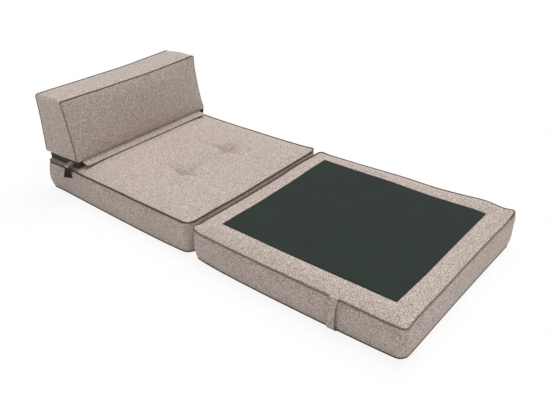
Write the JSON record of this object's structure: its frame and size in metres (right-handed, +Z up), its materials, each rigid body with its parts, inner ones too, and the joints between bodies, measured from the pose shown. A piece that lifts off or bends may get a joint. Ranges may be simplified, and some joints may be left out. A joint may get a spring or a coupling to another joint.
{
  "type": "chair bed",
  "caption": "Single chair bed opened flat: tufted seat block, foot block with a dark base panel hinged below it by a fabric strip, and a wedge backrest that folds onto the seat.",
  "frame": {"origin": "middle of the opened bed's length and width, on the floor", "axes": "+X across the bed, +Y along it towards the backrest, +Z up"},
  "size_m": [0.827, 1.8766, 0.4423],
  "materials": {
    "upholstery": "flat melange weave, beige-taupe with lighter and darker threads",
    "piping": "seam piping in the same weave, darker in the seam",
    "base_panel": "matt dark green-black non-slip cloth",
    "base_sleeve": "matt dark brown lining cloth",
    "webbing": "black woven polypropylene webbing",
    "zip_tape": "woven zip tape with nylon coil",
    "zip_slider": "plated zinc",
    "foam": "open-cell polyurethane foam",
    "wadding": "white polyester wadding",
    "tie_cord": "twisted cord"
  },
  "bodies": {
    "seat": {"seat_foam": "foam", "seat_wadding": "wadding", "seat_cover": "upholstery", "seat_piping_top": "piping", "seat_piping_bottom": "piping", "tuft_buttons": "upholstery", "tuft_ties": "tie_cord", "seat_zip": "zip_tape", "hinge_strip_seat": "upholstery", "backrest_flap": "upholstery"},
    "foot": {"foot_foam": "foam", "foot_wadding": "wadding", "foot_cover": "upholstery", "foot_base_panel": "base_panel", "foot_piping_top": "piping", "foot_piping_bottom": "piping", "foot_strap": "upholstery", "foot_zip": "zip_tape", "hinge_strip_foot": "upholstery"},
    "backrest": {"backrest_foam": "foam", "backrest_wadding": "wadding", "backrest_cover": "upholstery", "backrest_base": "base_sleeve", "backrest_piping_front": "piping", "backrest_piping_rear": "piping", "backrest_tab_left": "upholstery", "backrest_tab_right": "upholstery", "backrest_zip": "zip_tape"},
    "strap_left": {"strap_left": "webbing"},
    "strap_right": {"strap_right": "webbing"},
    "seat_slider": {"seat_zip_slider": "zip_slider"},
    "foot_slider": {"foot_zip_slider": "zip_slider"},
    "backrest_slider": {"backrest_zip_slider": "zip_slider"}
  },
  "joints": [
    {"name": "foot_fold", "type": "hinge", "parent": "seat", "child": "foot", "pos_m": [0, -0.01384, -0.00025], "axis": [1, 0, 0], "range_deg": [0, 180]},
    {"name": "backrest_fold", "type": "hinge", "parent": "seat", "child": "backrest", "pos_m": [0, 0.69271, 0.16785], "axis": [1, 0, 0], "range_deg": [0, 98]},
    {"name": "strap_left_swing", "type": "hinge", "parent": "backrest", "child": "strap_left", "pos_m": [-0.40868, 0.74472, 0.1498], "axis": [0, 1, 0], "range_deg": [0, 90]},
    {"name": "strap_right_swing", "type": "hinge", "parent": "backrest", "child": "strap_right", "pos_m": [0.40868, 0.74472, 0.1498], "axis": [0, -1, 0], "range_deg": [0, 90]},
    {"name": "seat_zip_slide", "type": "slide", "parent": "seat", "child": "seat_slider", "axis": [1, 0, 0], "range_m": [0, 0.5544]},
    {"name": "foot_zip_slide", "type": "slide", "parent": "foot", "child": "foot_slider", "axis": [1, 0, 0], "range_m": [0, 0.5544]},
    {"name": "backrest_zip_slide", "type": "slide", "parent": "backrest", "child": "backrest_slider", "axis": [1, 0, 0], "range_m": [0, 0.4744]}
  ]
}
